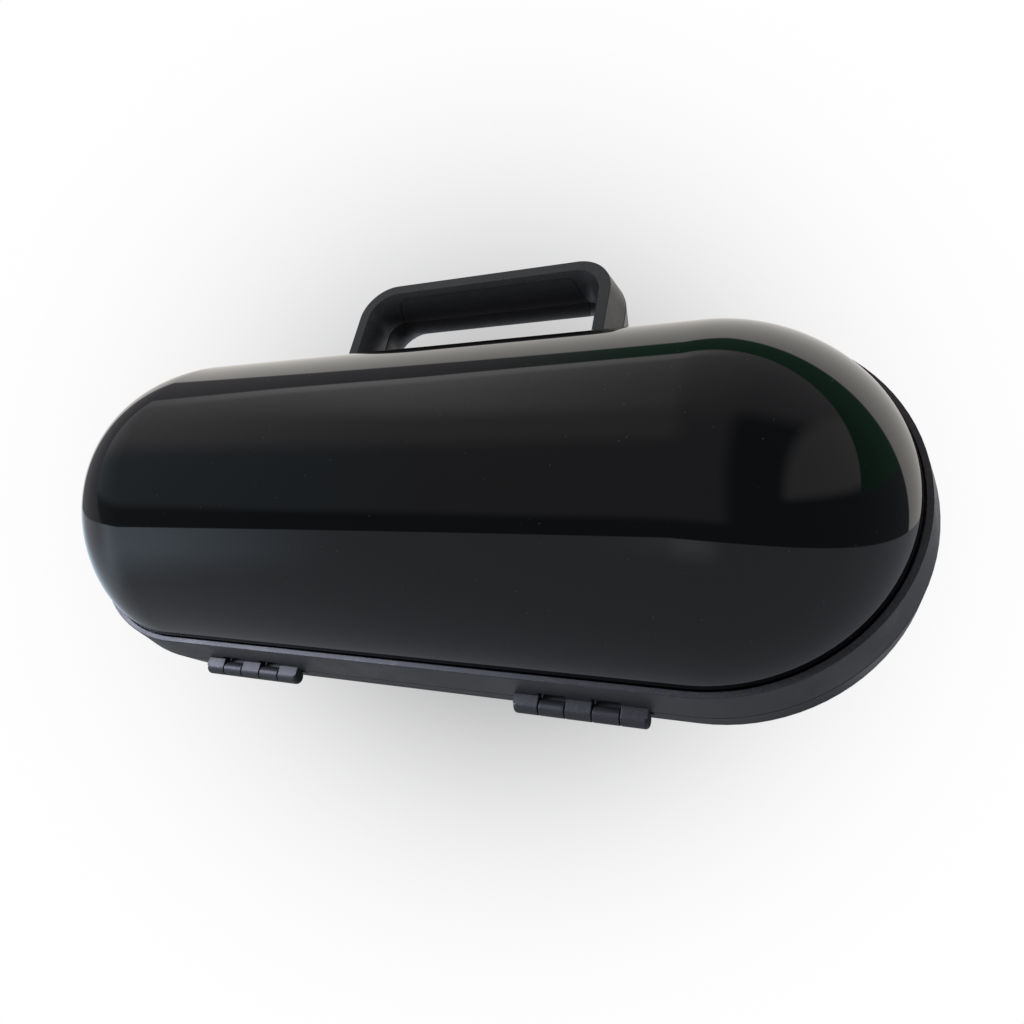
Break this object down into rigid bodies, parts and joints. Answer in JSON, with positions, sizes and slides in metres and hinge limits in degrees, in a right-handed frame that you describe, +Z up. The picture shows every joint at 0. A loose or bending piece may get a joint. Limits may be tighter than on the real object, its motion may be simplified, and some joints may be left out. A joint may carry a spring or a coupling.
{
  "type": "transport case",
  "caption": "Hard clamshell transport case with round ends, glossy domed shells in satin frames, a split carrying handle, knuckle hinges, sliding latches and foam inserts.",
  "frame": {"origin": "middle of the overall footprint, on the plane that the four feet rest on", "axes": "+X along the case's length, +Y towards the handle's side, +Z up out of the lid"},
  "size_m": [0.4024, 0.2145, 0.1544],
  "materials": {
    "gloss_shell": "gloss",
    "satin_frame": "satin",
    "satin_handle": "satin",
    "grip_rubber": "matte",
    "foam": "matte",
    "screw_steel": "satin",
    "pin_steel": "satin",
    "seal_rubber": "matte",
    "foot_rubber": "matte",
    "latch_plastic": "satin"
  },
  "bodies": {
    "base": {"base_shell": "gloss_shell", "base_frame": "satin_frame", "base_handle_half": "satin_handle", "base_grip_pad": "grip_rubber", "base_foam": "foam", "base_shell_screws": "screw_steel", "base_handle_screws": "screw_steel", "seal_gasket": "seal_rubber", "foot_hinge_left": "foot_rubber", "foot_hinge_right": "foot_rubber", "foot_handle_left": "foot_rubber", "foot_handle_right": "foot_rubber", "latch_keeper_left": "pin_steel", "latch_keeper_right": "pin_steel"},
    "lid": {"lid_shell": "gloss_shell", "lid_frame": "satin_frame", "lid_handle_half": "satin_handle", "lid_grip_pad": "grip_rubber", "lid_foam": "foam", "lid_shell_screws": "screw_steel", "lid_handle_screws": "screw_steel", "hinge_pin_left": "pin_steel", "hinge_pin_right": "pin_steel", "latch_cover_left": "latch_plastic", "latch_cover_right": "latch_plastic", "latch_cover_screws_left": "screw_steel", "latch_cover_screws_right": "screw_steel"},
    "latch_left": {"latch_slider_left": "latch_plastic"},
    "latch_right": {"latch_slider_right": "latch_plastic"}
  },
  "joints": [
    {"name": "lid_hinge", "type": "hinge", "parent": "base", "child": "lid", "pos_m": [0, -0.1041, 0.0775], "axis": [1, 0, 0], "range_deg": [0, 180]},
    {"name": "latch_left_slide", "type": "slide", "parent": "lid", "child": "latch_left", "axis": [1, 0, 0], "range_m": [0, 0.006]},
    {"name": "latch_right_slide", "type": "slide", "parent": "lid", "child": "latch_right", "axis": [-1, 0, 0], "range_m": [0, 0.006]}
  ]
}
